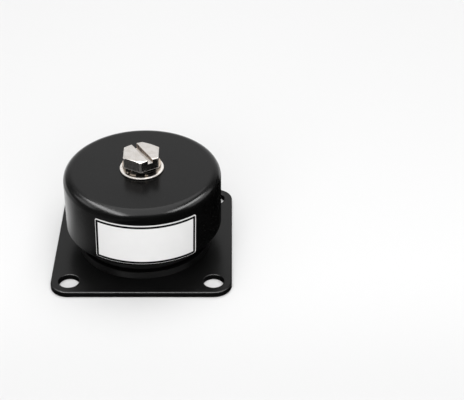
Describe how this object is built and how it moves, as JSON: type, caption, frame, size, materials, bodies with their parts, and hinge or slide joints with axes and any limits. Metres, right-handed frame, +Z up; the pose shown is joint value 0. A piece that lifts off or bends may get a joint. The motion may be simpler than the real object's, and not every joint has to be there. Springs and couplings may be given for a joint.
{
  "type": "rubber vibration isolator",
  "caption": "Square base plate with corner holes under a round drawn cover, carried on a captive rubber element and topped by a slotted hexagon bolt with washers.",
  "frame": {"origin": "centre of the base plate's underside", "axes": "+Z up along the isolator's axis, +X and +Y along the square plate's sides, the label faces -Y"},
  "size_m": [0.062, 0.062, 0.0385],
  "materials": {
    "black_paint": "gloss black stoving paint on steel",
    "housing_paint": "satin black stoving paint on drawn steel",
    "cover_paint": "gloss black stoving paint on drawn steel",
    "rivet_steel": "black painted steel",
    "phosphated_steel": "dark phosphate",
    "rubber": "moulded matt black",
    "turned_steel": "turned",
    "zinc_steel": "zinc plated, smooth",
    "label_film": "blank white film"
  },
  "bodies": {
    "base": {"base_plate": "black_paint", "spacer_ring": "black_paint", "lower_housing": "housing_paint", "rivet_1": "rivet_steel", "rivet_2": "rivet_steel", "rivet_3": "rivet_steel", "rivet_4": "rivet_steel", "support_ring": "phosphated_steel", "rubber_element": "rubber"},
    "suspended": {"core": "turned_steel", "rebound_plate": "phosphated_steel", "rebound_buffer": "rubber", "top_cover": "cover_paint", "label": "label_film"},
    "bolt_washers": {"flat_washer": "zinc_steel", "lock_washer": "zinc_steel"},
    "bolt": {"hex_bolt": "zinc_steel"}
  },
  "joints": [
    {"name": "travel", "type": "slide", "parent": "base", "child": "suspended", "axis": [0, 0, 1], "range_m": [-0.0045, 0.0025], "stiffness_N_per_m": 15000, "deforming": ["rubber_element"]},
    {"name": "bolt_lift", "type": "slide", "parent": "suspended", "child": "bolt_washers", "axis": [0, 0, 1], "range_m": [0, 0.01006]},
    {"name": "bolt_turn", "type": "hinge", "parent": "bolt_washers", "child": "bolt", "pos_m": [0, 0, 0.03415], "axis": [0, 0, 1], "range_deg": [0, 2880]}
  ],
  "couplings": [
    {"joint": "bolt_lift", "follows": "bolt_turn", "m_per_rad": 0.00019894}
  ]
}
